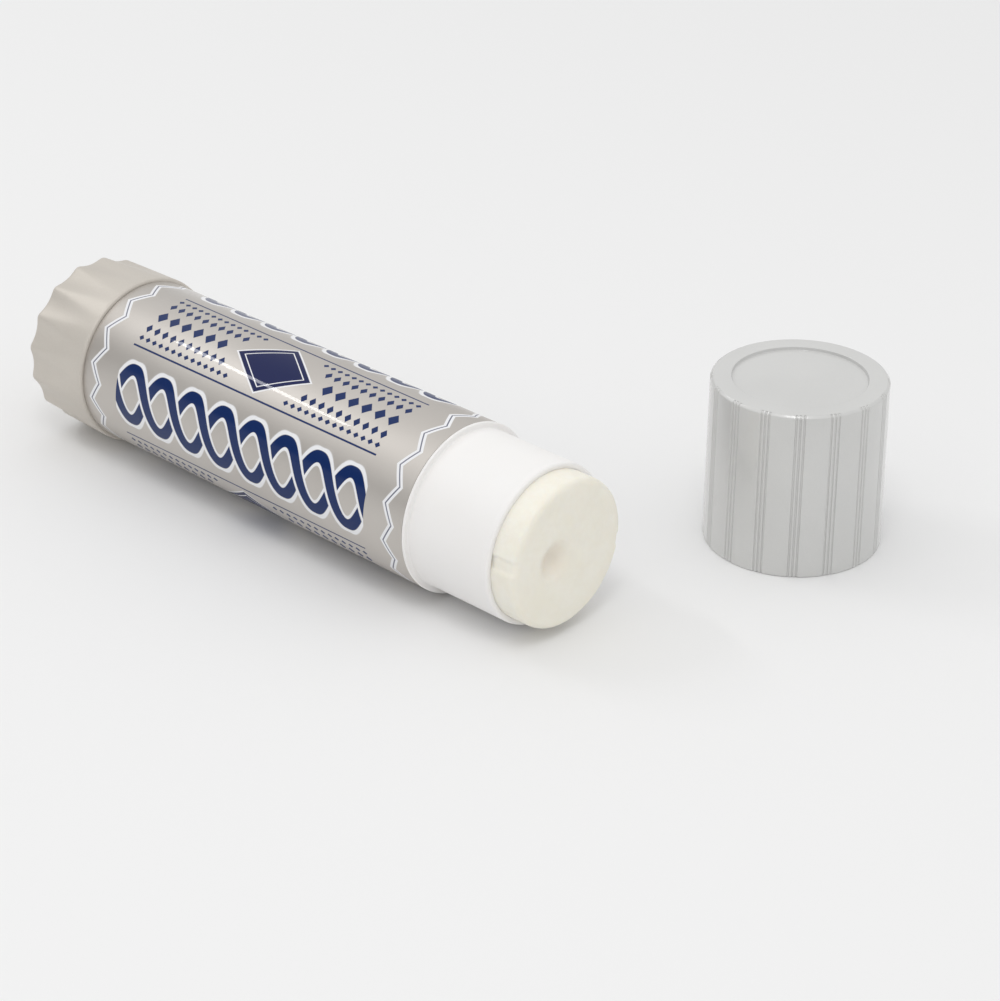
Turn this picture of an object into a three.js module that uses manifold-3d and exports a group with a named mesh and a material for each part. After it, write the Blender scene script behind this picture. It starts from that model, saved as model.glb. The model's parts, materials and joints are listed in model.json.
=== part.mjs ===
// Twist-up glue stick: the stick lies on a table with its cap standing beside it on its mouth.
// Millimetres, +Z up, table at z = 0.
// Each piece of the stick is drawn about its long axis, which is +Z while it is drawn, with
// height 0 at the free end of the knob. Outlines are lists of [radius, height].

import * as THREE from 'three';
import Module from 'manifold-3d';
import { mergeVertices } from 'three/addons/utils/BufferGeometryUtils.js';

const wasm = await Module();
wasm.setup();

// How round things are drawn
const ROUND_SEGMENTS = 48;
const SCREW_SEGMENTS = 12;
const EDGE_STEPS = 3;
const FLUTE_STEPS = 6;
const FLUTE_ROWS = 8;

// Clearances between pieces
const SLIDING_GAP = 0.3;
const RUNNING_GAP = 0.3;
const SEAT_GAP = 0.3;
const LABEL_GAP = 0.1;
const THREAD_GAP = 0.25;
const CAP_GAP = 0.15;
const GLUE_GAP = 0.25;

// Knob
const KNOB_OVERHANG = 0.5;
const KNOB_TAPER = 0.2;
const KNOB_LENGTH = 12.2;
const KNOB_EDGE = 0.3;
const KNOB_SKIRT_WALL = 1.8;
const KNOB_BASE_WALL = 1.3;
const KNOB_RING_WIDTH = 3.5;
const KNOB_RECESS_DEPTH = 0.6;
const KNOB_HUB_WALL = 1.5;
const FLUTE_COUNT = 16;
const FLUTE_DEPTH = 0.85;
const FLUTE_RUN = 10.8;

// Barrel
const BARREL_R = 12.5;
const BODY_LENGTH = 67.3;
const BODY_EDGE = 0.15;
const LABEL_MARGIN = 0.4;
const SHOULDER_STEP = 0.85;
const NECK_LENGTH = 14.5;
const NECK_WALL = 0.8;
const TAIL_WALL = 1.0;
const TAIL_LENGTH = 8.3;
const WEB_THICKNESS = 1.2;
const BORE_STEP = 1.2;
const SNAP_BEAD = 0.45;
const SNAP_BEAD_WIDTH = 0.9;
const SNAP_BEAD_INSET = 2.8;
const RIB_COUNT = 2;
const RIB_HEIGHT = 0.3;
const RIB_WIDTH = 1.2;
const RIB_TURN = 80;

// Label
const LABEL_THICKNESS = 0.15;
const LABEL_DROP = 0.05;

// Feed screw
const SCREW_R = 2.4;
const SCREW_CORE_R = 1.7;
const SCREW_LEAD = 5;
const SCREW_CREST = 0.9;
const SCREW_ROOT = 2.1;
const SCREW_TIP_BELOW_MOUTH = 6;
const SCREW_TIP_CHAMFER = 0.8;
const COLLAR_R = 5;
const COLLAR_THICKNESS = 1.5;
const JOURNAL_R = 2.8;
const FOOT_R = 2.6;

// Carrier that lifts the glue
const CARRIER_WALL = 1.15;
const CARRIER_FLOOR = 1.2;
const CARRIER_CUP = 4.5;
const CARRIER_SKIRT = 6;
const NUT_LENGTH = 12;
const NUT_R = 5;
const FIN_COUNT = 4;
const FIN_HEIGHT = 3.2;
const FIN_THICKNESS = 0.9;
const FIN_INNER_R = 4.2;

// Glue
const GLUE_OUT = 4.1;
const GLUE_RETRACT = 6.5;
const GLUE_EDGE = 1.0;
const DIMPLE_R = 2.7;
const DIMPLE_DEPTH = 1.2;
const DIMPLE_ASIDE = 2.6;
const GLUE_COVER = 1.6;

// Cap
const CAP_HEIGHT = 25.2;
const CAP_OVERHANG = 0.4;
const CAP_TAPER = 0.35;
const CAP_EDGE = 0.6;
const CAP_RING_WIDTH = 3.1;
const CAP_RECESS_DEPTH = 0.45;
const CAP_TOP_WALL = 1.1;
const CAP_SEAT_STEP = 0.5;
const CAP_LIP = 0.15;
const CAP_AHEAD = 103.4;
const CAP_ASIDE = 42.9;

// Places along the stick, from the free end of the knob
const bodyStart = KNOB_LENGTH + RUNNING_GAP;
const shoulder = bodyStart + BODY_LENGTH;
const mouth = shoulder + NECK_LENGTH;
const webBottom = bodyStart - TAIL_LENGTH;
const webTop = webBottom + WEB_THICKNESS;
const hubTop = webBottom - RUNNING_GAP;
const collarBottom = webTop + RUNNING_GAP;
const collarTop = collarBottom + COLLAR_THICKNESS;
const boreStart = bodyStart + BORE_STEP;
const screwTip = mouth - SCREW_TIP_BELOW_MOUTH;
const glueFace = mouth + GLUE_OUT;
const carrierFloor = boreStart + SEAT_GAP + CARRIER_SKIRT + GLUE_RETRACT;
const cupRim = carrierFloor + CARRIER_CUP;
const beadHeight = bodyStart - SNAP_BEAD_INSET;
const footBottom = KNOB_BASE_WALL + SEAT_GAP;

// Radii that fit each other
const knobR = BARREL_R + KNOB_OVERHANG;
const knobRecessR = knobR - KNOB_RING_WIDTH;
const skirtInnerR = knobR - KNOB_SKIRT_WALL;
const tailR = skirtInnerR - RUNNING_GAP;
const tailInnerR = tailR - TAIL_WALL;
const neckR = BARREL_R - SHOULDER_STEP;
const boreR = neckR - NECK_WALL;
const ribR = boreR - RIB_HEIGHT;
const panelR = BARREL_R - LABEL_DROP - LABEL_THICKNESS - LABEL_GAP;
const carrierR = boreR - SLIDING_GAP;
const cupInnerR = carrierR - CARRIER_WALL;
const glueR = boreR - GLUE_GAP;
const glueRootR = cupInnerR - SEAT_GAP;
const nutBoreR = SCREW_R + THREAD_GAP;
const nutCrestR = SCREW_CORE_R + THREAD_GAP;
const glueBoreR = SCREW_R + SLIDING_GAP;
const bearingR = JOURNAL_R + RUNNING_GAP;
const socketR = FOOT_R + SEAT_GAP;
const hubR = socketR + KNOB_HUB_WALL;
const capMouthR = BARREL_R + CAP_OVERHANG;
const capTopR = capMouthR - CAP_TAPER;
const capRecessR = capTopR - CAP_RING_WIDTH;

// Points on a rounded edge, its angle counted from the outward direction towards +height
function arc(centreR, centreHeight, radius, fromDegrees, toDegrees) {
  const points = [];
  for (let step = 0; step <= EDGE_STEPS; step += 1) {
    const degrees = fromDegrees + ((toDegrees - fromDegrees) * step) / EDGE_STEPS;
    const angle = THREE.MathUtils.degToRad(degrees);
    points.push([centreR + radius * Math.cos(angle), centreHeight + radius * Math.sin(angle)]);
  }
  return points;
}

// Turned form; the outline runs anticlockwise and starts and ends on the axis, or is a closed ring
function revolve(outline, segments = ROUND_SEGMENTS) {
  const points = outline.map(([radius, height]) => new THREE.Vector2(radius, height));
  if (outline[0][0] > 0) {
    points.push(points[0].clone());
  }
  const geometry = new THREE.LatheGeometry(points, segments);
  geometry.rotateX(Math.PI / 2);
  return geometry;
}

// Closed solid for cutting and joining, from a geometry whose faces point out
function solidOf(geometry) {
  const bare = geometry.clone();
  bare.deleteAttribute('normal');
  bare.deleteAttribute('uv');
  const merged = mergeVertices(bare);
  const corners = merged.index.array;
  const triVerts = [];
  for (let i = 0; i < corners.length; i += 3) {
    const [a, b, c] = corners.slice(i, i + 3);
    if (a !== b && b !== c && c !== a) {
      triVerts.push(a, b, c);
    }
  }
  const vertProperties = Float32Array.from(merged.attributes.position.array);
  const mesh = new wasm.Mesh({ numProp: 3, vertProperties, triVerts: Uint32Array.from(triVerts) });
  return new wasm.Manifold(mesh);
}

function geometryOf(solid) {
  const mesh = solid.getMesh();
  const geometry = new THREE.BufferGeometry();
  geometry.setAttribute('position', new THREE.BufferAttribute(mesh.vertProperties, 3));
  geometry.setIndex(new THREE.BufferAttribute(mesh.triVerts, 1));
  geometry.computeVertexNormals();
  return geometry;
}

// Left-hand helical ridge: a strip with four corners in section, wound between two heights.
// Its middle crosses the drawing +X direction at the height called phase.
function helicalRidge({ innerR, outerR, innerWidth, outerWidth, from, to, phase }) {
  const section = [
    [innerR, -innerWidth / 2],
    [outerR, -outerWidth / 2],
    [outerR, outerWidth / 2],
    [innerR, innerWidth / 2],
  ];
  const stepHeight = SCREW_LEAD / SCREW_SEGMENTS;
  const first = Math.ceil((from - phase) / stepHeight);
  const last = Math.floor((to - phase) / stepHeight);
  const positions = [];
  for (let step = first; step <= last; step += 1) {
    const angle = (-2 * Math.PI * step) / SCREW_SEGMENTS;
    for (const [radius, offset] of section) {
      const height = phase + step * stepHeight + offset;
      positions.push(radius * Math.cos(angle), radius * Math.sin(angle), height);
    }
  }
  const faces = [0, 2, 1, 0, 3, 2];
  const rings = last - first;
  for (let ring = 0; ring < rings; ring += 1) {
    for (let side = 0; side < 4; side += 1) {
      const a = ring * 4 + side;
      const b = ring * 4 + ((side + 1) % 4);
      faces.push(a, b, b + 4, a, b + 4, a + 4);
    }
  }
  const end = rings * 4;
  faces.push(end, end + 1, end + 2, end, end + 2, end + 3);
  const geometry = new THREE.BufferGeometry();
  geometry.setAttribute('position', new THREE.Float32BufferAttribute(positions, 3));
  geometry.setIndex(faces);
  return geometry;
}

// Block that reaches out along a radius: from one radius to another, between two heights
function radialBlock(fromR, toR, width, fromHeight, toHeight, degrees) {
  const block = new THREE.BoxGeometry(toR - fromR, width, toHeight - fromHeight);
  block.translate((fromR + toR) / 2, 0, (fromHeight + toHeight) / 2);
  block.rotateZ(THREE.MathUtils.degToRad(degrees));
  return solidOf(block);
}

function ribDirections() {
  return Array.from({ length: RIB_COUNT }, (_, rib) => RIB_TURN + (360 * rib) / RIB_COUNT);
}

function finDirections() {
  return Array.from({ length: FIN_COUNT }, (_, fin) => (360 * fin) / FIN_COUNT);
}

// Knob: a cup with a hub for the screw's foot and hollow flutes that fade out towards the barrel
function makeKnob() {
  const grooveR = tailR + SNAP_BEAD + RUNNING_GAP;
  const grooveHalf = SNAP_BEAD_WIDTH / 2 + RUNNING_GAP;
  const endR = knobR - KNOB_TAPER;
  const plain = revolve(
    [
      [0, KNOB_RECESS_DEPTH],
      [knobRecessR - KNOB_EDGE, KNOB_RECESS_DEPTH],
      [knobRecessR, 0],
      [knobR - FLUTE_DEPTH - KNOB_EDGE, 0],
      ...arc(endR - KNOB_EDGE, KNOB_EDGE, KNOB_EDGE, -90, 0),
      ...between([endR, KNOB_EDGE], [knobR, KNOB_LENGTH - KNOB_EDGE], FLUTE_ROWS),
      ...arc(knobR - KNOB_EDGE, KNOB_LENGTH - KNOB_EDGE, KNOB_EDGE, 0, 90),
      [skirtInnerR, KNOB_LENGTH],
      [skirtInnerR, beadHeight + grooveHalf],
      [grooveR, beadHeight + grooveHalf - RUNNING_GAP],
      [grooveR, beadHeight - grooveHalf + RUNNING_GAP],
      [skirtInnerR, beadHeight - grooveHalf],
      [skirtInnerR, KNOB_BASE_WALL + KNOB_RECESS_DEPTH],
      [hubR, KNOB_BASE_WALL + KNOB_RECESS_DEPTH],
      [hubR, hubTop],
      [0, hubTop],
    ],
    FLUTE_COUNT * FLUTE_STEPS,
  );
  const socket = footGeometry(socketR, KNOB_BASE_WALL, hubTop + SEAT_GAP);
  return geometryOf(solidOf(fluted(plain)).subtract(solidOf(socket)));
}

// Points strictly between two points of an outline, evenly spaced
function between([fromR, fromHeight], [toR, toHeight], rows) {
  return Array.from({ length: rows - 1 }, (_, row) => {
    const share = (row + 1) / rows;
    return [fromR + (toR - fromR) * share, fromHeight + (toHeight - fromHeight) * share];
  });
}

// Hollows the flutes: whatever stands outside a flute's surface is drawn in to it.
// Each flute is the print of a round bar that leans out of the knob towards the barrel, and
// neighbouring flutes meet in a ridge at the knob's free end.
function fluted(geometry) {
  const halfPitch = Math.PI / FLUTE_COUNT;
  const halfChord = knobR * Math.sin(halfPitch);
  const sagitta = FLUTE_DEPTH - knobR * (1 - Math.cos(halfPitch));
  const barR = (halfChord ** 2 + sagitta ** 2) / (2 * sagitta);
  const points = geometry.attributes.position;
  for (let i = 0; i < points.count; i += 1) {
    const radius = Math.hypot(points.getX(i), points.getY(i));
    const turn = Math.atan2(points.getY(i), points.getX(i)) + 2 * Math.PI + halfPitch;
    const fromMiddle = (turn % (2 * halfPitch)) - halfPitch;
    const depth = FLUTE_DEPTH * (1 - points.getZ(i) / FLUTE_RUN);
    const barAxis = knobR - depth + barR;
    const aside = barAxis * Math.sin(fromMiddle);
    const fluteR = barAxis * Math.cos(fromMiddle) - Math.sqrt(barR ** 2 - aside ** 2);
    if (radius > fluteR) {
      points.setX(i, (points.getX(i) * fluteR) / radius);
      points.setY(i, (points.getY(i) * fluteR) / radius);
    }
  }
  return geometry;
}

// Six-sided foot of the screw, and the socket it seats in
function footGeometry(radius, from, to) {
  return revolve([[0, from], [radius, from], [radius, to], [0, to]], 6);
}

// Feed screw: foot, journal through the web, thrust collar and a coarse left-hand thread
function makeScrew() {
  const threadEnd = screwTip - SCREW_TIP_CHAMFER;
  const core = revolve(
    [
      [0, hubTop],
      [JOURNAL_R, hubTop],
      [JOURNAL_R, collarBottom],
      [COLLAR_R, collarBottom],
      [COLLAR_R, collarTop],
      [SCREW_CORE_R, collarTop],
      [SCREW_CORE_R, threadEnd],
      [SCREW_CORE_R - SCREW_TIP_CHAMFER, screwTip],
      [0, screwTip],
    ],
    SCREW_SEGMENTS,
  );
  const ridge = helicalRidge({
    innerR: SCREW_CORE_R * 0.85,
    outerR: SCREW_R,
    innerWidth: SCREW_ROOT,
    outerWidth: SCREW_CREST,
    from: collarTop,
    to: threadEnd - SCREW_CREST,
    phase: 0,
  });
  const foot = footGeometry(FOOT_R, footBottom, hubTop + RUNNING_GAP / 2);
  return geometryOf(solidOf(core).add(solidOf(ridge)).add(solidOf(foot)));
}

// Barrel: body under the label, stepped neck, and a tail with the bearing web inside the knob
function makeBarrel() {
  const beadHalf = SNAP_BEAD_WIDTH / 2;
  let barrel = solidOf(
    revolve([
      [bearingR, webBottom],
      [tailR - SNAP_BEAD, webBottom],
      [tailR, webBottom + SNAP_BEAD],
      [tailR, beadHeight - beadHalf],
      [tailR + SNAP_BEAD, beadHeight],
      [tailR, beadHeight + beadHalf],
      [tailR, bodyStart],
      [panelR - BODY_EDGE, bodyStart],
      [panelR, bodyStart + BODY_EDGE],
      [panelR, shoulder - LABEL_MARGIN],
      [BARREL_R, shoulder - LABEL_MARGIN],
      [BARREL_R, shoulder - BODY_EDGE],
      [BARREL_R - BODY_EDGE, shoulder],
      [neckR + BODY_EDGE, shoulder],
      [neckR, shoulder + BODY_EDGE],
      ...arc(neckR - NECK_WALL / 2, mouth - NECK_WALL / 2, NECK_WALL / 2, 0, 180),
      [boreR, boreStart],
      [tailInnerR, boreStart - (boreR - tailInnerR)],
      [tailInnerR, webTop],
      [bearingR, webTop],
    ]),
  );
  for (const degrees of ribDirections()) {
    const ribEnd = mouth - NECK_WALL;
    const ribWall = (boreR + neckR) / 2;
    barrel = barrel.add(radialBlock(ribR, ribWall, RIB_WIDTH, boreStart, ribEnd, degrees));
  }
  return geometryOf(barrel);
}

// Printed sleeve round the barrel's body, from its rear end to the rim before the shoulder
function makeLabel() {
  const outerR = BARREL_R - LABEL_DROP;
  const from = bodyStart;
  const to = shoulder - LABEL_MARGIN - LABEL_GAP;
  const innerR = outerR - LABEL_THICKNESS;
  return revolve([[innerR, from], [outerR, from], [outerR, to], [innerR, to]]);
}

// Carrier: a cup that holds the glue's foot, with a nut on the screw and notches on the ribs
function makeCarrier() {
  const skirtEnd = carrierFloor - CARRIER_SKIRT;
  const nutEnd = carrierFloor - NUT_LENGTH;
  let carrier = solidOf(
    revolve([
      [nutBoreR, nutEnd],
      [NUT_R, nutEnd],
      [NUT_R, carrierFloor - CARRIER_FLOOR],
      [cupInnerR, carrierFloor - CARRIER_FLOOR],
      [cupInnerR, skirtEnd],
      [carrierR, skirtEnd],
      [carrierR, cupRim],
      [cupInnerR, cupRim],
      [cupInnerR, carrierFloor],
      [nutBoreR, carrierFloor],
    ]),
  );
  const nutThread = helicalRidge({
    innerR: nutCrestR,
    outerR: (nutBoreR + NUT_R) / 2,
    innerWidth: SCREW_LEAD - SCREW_ROOT - 4 * THREAD_GAP,
    outerWidth: SCREW_LEAD - SCREW_CREST - 4 * THREAD_GAP,
    from: nutEnd + SCREW_LEAD / 2,
    to: carrierFloor - SCREW_LEAD / 2,
    phase: SCREW_LEAD / 2,
  });
  carrier = carrier.add(solidOf(nutThread));
  const finOuterR = carrierR - CARRIER_WALL / 2;
  const finTop = carrierFloor + FIN_HEIGHT;
  const finFoot = carrierFloor - CARRIER_FLOOR / 2;
  for (const degrees of finDirections()) {
    const fin = radialBlock(FIN_INNER_R, finOuterR, FIN_THICKNESS, finFoot, finTop, degrees);
    carrier = carrier.add(fin);
  }
  const notchR = ribR - SLIDING_GAP;
  const notchWidth = RIB_WIDTH + 2 * SLIDING_GAP;
  for (const degrees of ribDirections()) {
    const notch = radialBlock(notchR, BARREL_R, notchWidth, skirtEnd - 1, cupRim + 1, degrees);
    carrier = carrier.subtract(notch);
  }
  return geometryOf(carrier);
}

// Shallow round hollow in the glue's face, to one side of its middle
function makeDimple() {
  const hollow = revolve([
    [0, glueFace - DIMPLE_DEPTH],
    [DIMPLE_R * 0.4, glueFace - DIMPLE_DEPTH * 0.85],
    [DIMPLE_R * 0.75, glueFace - DIMPLE_DEPTH * 0.4],
    [DIMPLE_R, glueFace],
    [DIMPLE_R, glueFace + DIMPLE_DEPTH],
    [0, glueFace + DIMPLE_DEPTH],
  ]);
  hollow.translate(0, -DIMPLE_ASIDE, 0);
  return solidOf(hollow);
}

// Glue: cast in the barrel on the carrier, hollow round the screw
function makeGlue() {
  const boreEnd = glueFace - DIMPLE_DEPTH - GLUE_COVER;
  const foot = carrierFloor + SEAT_GAP;
  let glue = solidOf(
    revolve([
      [0, boreEnd],
      [glueBoreR, boreEnd],
      [glueBoreR, foot],
      [glueRootR, foot],
      [glueRootR, cupRim + SEAT_GAP],
      [glueR, cupRim + SEAT_GAP],
      ...arc(glueR - GLUE_EDGE, glueFace - GLUE_EDGE, GLUE_EDGE, 0, 90),
      [0, glueFace],
    ]),
  );
  glue = glue.subtract(makeDimple());
  for (const degrees of finDirections()) {
    const slotTop = carrierFloor + FIN_HEIGHT + SEAT_GAP;
    const slotWidth = FIN_THICKNESS + 2 * SEAT_GAP;
    const slotStart = FIN_INNER_R - SEAT_GAP;
    glue = glue.subtract(radialBlock(slotStart, cupInnerR, slotWidth, carrierFloor, slotTop, degrees));
  }
  for (const degrees of ribDirections()) {
    const grooveWidth = RIB_WIDTH + 2 * SLIDING_GAP;
    glue = glue.subtract(radialBlock(ribR - GLUE_GAP, BARREL_R, grooveWidth, foot, glueFace + 1, degrees));
  }
  return geometryOf(glue);
}

// Cap: a tapered cup on its mouth, with a shallow recess in its top and a seat for the neck inside
function makeCap() {
  const ceiling = CAP_HEIGHT - CAP_RECESS_DEPTH - CAP_TOP_WALL;
  const fitR = neckR + CAP_GAP;
  const seat = NECK_LENGTH + SEAT_GAP;
  return revolve([
    [0, ceiling],
    [fitR - CAP_SEAT_STEP, ceiling],
    [fitR - CAP_SEAT_STEP, seat + CAP_SEAT_STEP],
    [fitR, seat],
    [fitR, CAP_LIP],
    [fitR + CAP_LIP, 0],
    [capMouthR - CAP_LIP, 0],
    [capMouthR, CAP_LIP],
    ...arc(capTopR - CAP_EDGE, CAP_HEIGHT - CAP_EDGE, CAP_EDGE, 0, 90),
    [capRecessR + CAP_RECESS_DEPTH / 2, CAP_HEIGHT],
    [capRecessR, CAP_HEIGHT - CAP_RECESS_DEPTH],
    [0, CAP_HEIGHT - CAP_RECESS_DEPTH],
  ]);
}

// Plastics, print and glue
const silverPlastic = { color: 0xb9b8b4, roughness: 0.42, metalness: 0.25 };
const knobPlastic = { color: 0xb8b2aa, roughness: 0.38, metalness: 0.25 };
const whitePlastic = { color: 0xf1eeec, roughness: 0.45, metalness: 0 };
const labelPrint = { color: 0xb4b2ae, roughness: 0.3, metalness: 0.5 };
const naturalPlastic = { color: 0xe9e6df, roughness: 0.5, metalness: 0 };
const driedGlue = { color: 0xe8e5d8, roughness: 0.6, metalness: 0 };

function piece(name, geometry, finish) {
  const mesh = new THREE.Mesh(geometry, new THREE.MeshStandardMaterial(finish));
  mesh.name = name;
  return mesh;
}

// The stick rests on the knob's rim and on the barrel's front edge, so its axis dips a little
const knobTouch = KNOB_LENGTH - KNOB_EDGE;
const barrelTouch = shoulder - BODY_EDGE;
const dip = Math.atan(KNOB_OVERHANG / (barrelTouch - knobTouch));

const stick = new THREE.Group();
stick.add(piece('barrel', makeBarrel(), whitePlastic));
stick.add(piece('label', makeLabel(), labelPrint));
stick.add(piece('knob', makeKnob(), knobPlastic));
stick.add(piece('feed_screw', makeScrew(), naturalPlastic));
stick.add(piece('carrier', makeCarrier(), naturalPlastic));
stick.add(piece('glue', makeGlue(), driedGlue));
stick.rotation.y = Math.PI / 2 + dip;
stick.position.z = knobTouch * Math.sin(dip) + knobR * Math.cos(dip);

const cap = piece('cap', makeCap(), silverPlastic);
cap.position.set(CAP_AHEAD, CAP_ASIDE, 0);

// The origin is the middle of the whole set, on the table
const glueStick = new THREE.Group();
glueStick.add(stick, cap);
glueStick.updateMatrixWorld(true);
const box = new THREE.Box3().setFromObject(glueStick, true);
const middle = box.getCenter(new THREE.Vector3());
glueStick.position.set(-middle.x, -middle.y, 0);
glueStick.updateMatrixWorld(true);

export default glueStick;
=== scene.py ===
import json
import math

import bpy
from mathutils import Matrix, Vector, noise


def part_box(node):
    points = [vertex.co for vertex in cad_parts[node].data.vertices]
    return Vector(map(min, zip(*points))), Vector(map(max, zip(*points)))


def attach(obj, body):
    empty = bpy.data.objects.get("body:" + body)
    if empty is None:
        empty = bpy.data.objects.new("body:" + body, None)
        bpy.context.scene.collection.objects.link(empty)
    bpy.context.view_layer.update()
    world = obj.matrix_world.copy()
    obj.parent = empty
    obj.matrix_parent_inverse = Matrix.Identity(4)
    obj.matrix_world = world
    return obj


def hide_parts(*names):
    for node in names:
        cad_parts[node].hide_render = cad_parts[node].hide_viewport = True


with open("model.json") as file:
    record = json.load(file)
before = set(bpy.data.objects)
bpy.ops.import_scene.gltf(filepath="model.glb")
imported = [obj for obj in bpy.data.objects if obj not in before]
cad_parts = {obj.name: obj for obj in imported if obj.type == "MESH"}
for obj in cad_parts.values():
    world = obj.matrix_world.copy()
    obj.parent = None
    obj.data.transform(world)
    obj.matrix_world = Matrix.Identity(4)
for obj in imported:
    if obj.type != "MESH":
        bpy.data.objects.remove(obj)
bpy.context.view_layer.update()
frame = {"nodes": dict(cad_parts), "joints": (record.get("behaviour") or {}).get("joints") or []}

# Sizes in millimetres. Heights run along the stick from the knob's free end, and the cap's
# from its mouth. Angles are in degrees, from +Y towards +Z round the stick and from +X towards
# +Y round the cap.
MM = 0.001

# A fine rounding, how far off a radius a point still belongs to it, a step too small to be
# seen, and what the rounding of numbers may leave
FINE_EDGE = 0.1
NEAR = 0.2
TINY = 0.01
SLACK = 1e-6

KNOB_R = 13.0
KNOB_END_R = 12.8
KNOB_LENGTH = 12.47
KNOB_EDGE = 0.3
KNOB_RIM_EDGE = 0.45
KNOB_END_EDGE = 0.6
KNOB_FINE_EDGE = 0.15
KNOB_FLOOR_EDGE = 0.3
KNOB_SKIRT_R = 11.2
KNOB_RECESS_R = 9.5
KNOB_RECESS = 0.6
KNOB_BASE = 1.3
FLUTES = 16
FLUTE_DEPTH = 0.85
FLUTE_RUN = 10.8
FLUTE_SIDES = 16
FLUTE_ROWS = 0.5
FLUTE_END_ROWS = 0.3
RIDGE_SOFTNESS = 0.6
SIDE_SOFTNESS = 0.45
SOCKET_R = 2.9
HUB_R = 4.4
HUB_TOP = 3.9
HUB_FOOT_EDGE = 0.2
GATE_R = 1.5
GATE_DEPTH = 0.25
SNAP_GAP = 0.3
SNAP_REACH = 0.75

BARREL_R = 12.5
BODY_START = 12.5
SHOULDER = 79.8
MOUTH = 94.3
BODY_EDGE = 0.15
LABEL_MARGIN = 0.4
PANEL_R = 12.2
NECK_R = 11.65
NECK_WALL = 0.8
NECK_FOOT_EDGE = 0.25
NECK_ROWS = 3.0
MOUTH_EDGE = 0.4
MOUTH_INNER_EDGE = 0.05
BORE_R = 10.85
BORE_START = 13.7
BORE_ROWS = 6.0
TAIL_R = 10.9
TAIL_INNER_R = 9.9
WEB_BOTTOM = 4.2
WEB_TOP = 5.4
WEB_EDGE = 0.2
BEARING_R = 3.1
BEAD_HEIGHT = 9.7
BEAD = 0.45
RIB_TURN = 170.0
RIBS = 2
RIB_WIDTH = 1.2
RIB_HEIGHT = 0.3
RIB_EDGE = 0.12
RIB_FADE = 0.3

LABEL_R = 12.45
LABEL_INNER_R = 12.3
LABEL_FROM = 12.52
LABEL_TO = 79.3
LABEL_EDGE = 0.04
LAP_AT = 20.0
LAP_WIDTH = 4.0
LAP_RISE = 0.04

# Half the turn over which the lap steps up, in radians
LAP_STEP = 0.001

# Zigzag border at both ends: teeth round the label, lowest and highest point, the angle of one
# tip, and how far its blue and its white reach from its middle
ZIGZAGS = 14
ZIGZAG_LOW = (14.35, 16.15)
ZIGZAG_LOW_TIP = 133.8
ZIGZAG_HIGH = (75.7, 77.3)
ZIGZAG_HIGH_TIP = 148.2
ZIGZAG_BLUE = 0.1
ZIGZAG_WHITE = 0.5

# Print on the label, which comes three times round: a twist of two strands, then a panel
REPEATS = 3
TWIST_AT = 170.0
TWIST_FROM = 20.0
TWIST_TO = 72.0
TWIST_WAVE = 13.0
TWIST_REACH = 3.9
STRAND = 1.7
STRAND_EDGE = 0.52
PANEL_AT = 110.0
PANEL_MIDDLE = 46.0
PANEL_REACH = 25.2
STRIPE_ASIDE = 5.7
STRIPE = 0.28
BADGE_BREADTH = 9.6
BADGE_LENGTH = 14.8
BADGE_KEYLINE = (0.8, 0.84)
BADGE_RING = (1.0, 1.06)

SCREW_FOOT_R = 2.6
SCREW_FOOT = 1.6
JOURNAL_R = 2.8
COLLAR_R = 5.0
COLLAR_BOTTOM = 5.7
COLLAR_TOP = 7.2
SCREW_CORE_R = 1.7
SCREW_CREST_R = 2.4
SCREW_LEAD = 5.0
SCREW_CREST = 0.9
SCREW_ROOT = 2.1
SCREW_TIP = 88.3
SCREW_CHAMFER = 0.8
SCREW_SIDES = 36
SCREW_ROWS = 0.25
THREAD_RUN_IN = 0.8
THREAD_START_FADE = 1.0
THREAD_END_FADE = 1.6
CORE_BAND = 0.05

GLUE_R = 10.83
GLUE_FACE = 98.4
GLUE_EDGE = 1.0
GLUE_ROOT_R = 9.1
GLUE_FOOT = 26.8
GLUE_STEP = 31.3
GLUE_BORE_R = 2.7
GLUE_BORE_END = 95.6
GLUE_SIDES = 144
GLUE_FACE_ROWS = 0.35
GLUE_SIDE_ROWS = 1.5
GLUE_SIDE_REACH = 8
DIMPLE_R = 3.4
DIMPLE_DEPTH = 1.4
DIMPLE_AT = (-2.6, 0.1)
WORN_DEPTH = 0.12
WORN_REACH = 2.5
WORN_FADE = 1.5
GROOVE_WIDTH = 1.8
GROOVE_DEPTH = 0.3
GROOVE_EDGE = 0.5
GROOVE_INWARDS = 1.2
GROOVE_OVERRUN = 2

CAP_HEIGHT = 25.2
CAP_MOUTH_R = 12.83
CAP_TOP_R = 12.6
CAP_EDGE = 0.38
CAP_MOUTH_EDGE = 0.25
CAP_RECESS_R = 9.5
CAP_RECESS = 0.45
CAP_RECESS_EDGE = 0.08
CAP_RECESS_SLOPE = 0.15
CAP_CEILING = 23.65
CAP_CEILING_EDGE = 0.4
CAP_FIT_R = 11.8
CAP_SEAT_R = 11.3
CAP_SEAT = 14.8
CAP_SEAT_SLOPE = 0.5
CAP_LIP = 0.15
CAP_SIDES = 160
CAP_ROWS = 1.6
CAP_ROWS_FROM = 0.2
CAP_GROUPS = 16
CAP_TURN = -74.5
CAP_LINES = 3
CAP_LINE_SPACING = 0.57
CAP_LINE_WIDTH = 0.24
CAP_LINE_SOFTNESS = 0.12
CAP_LINE_DEPTH = 0.17
CAP_LINE_R = CAP_MOUTH_R - 0.2
CAP_LINE_OVERRUN = 1.0

ROUND = 192
TAU = 2 * math.pi

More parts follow.
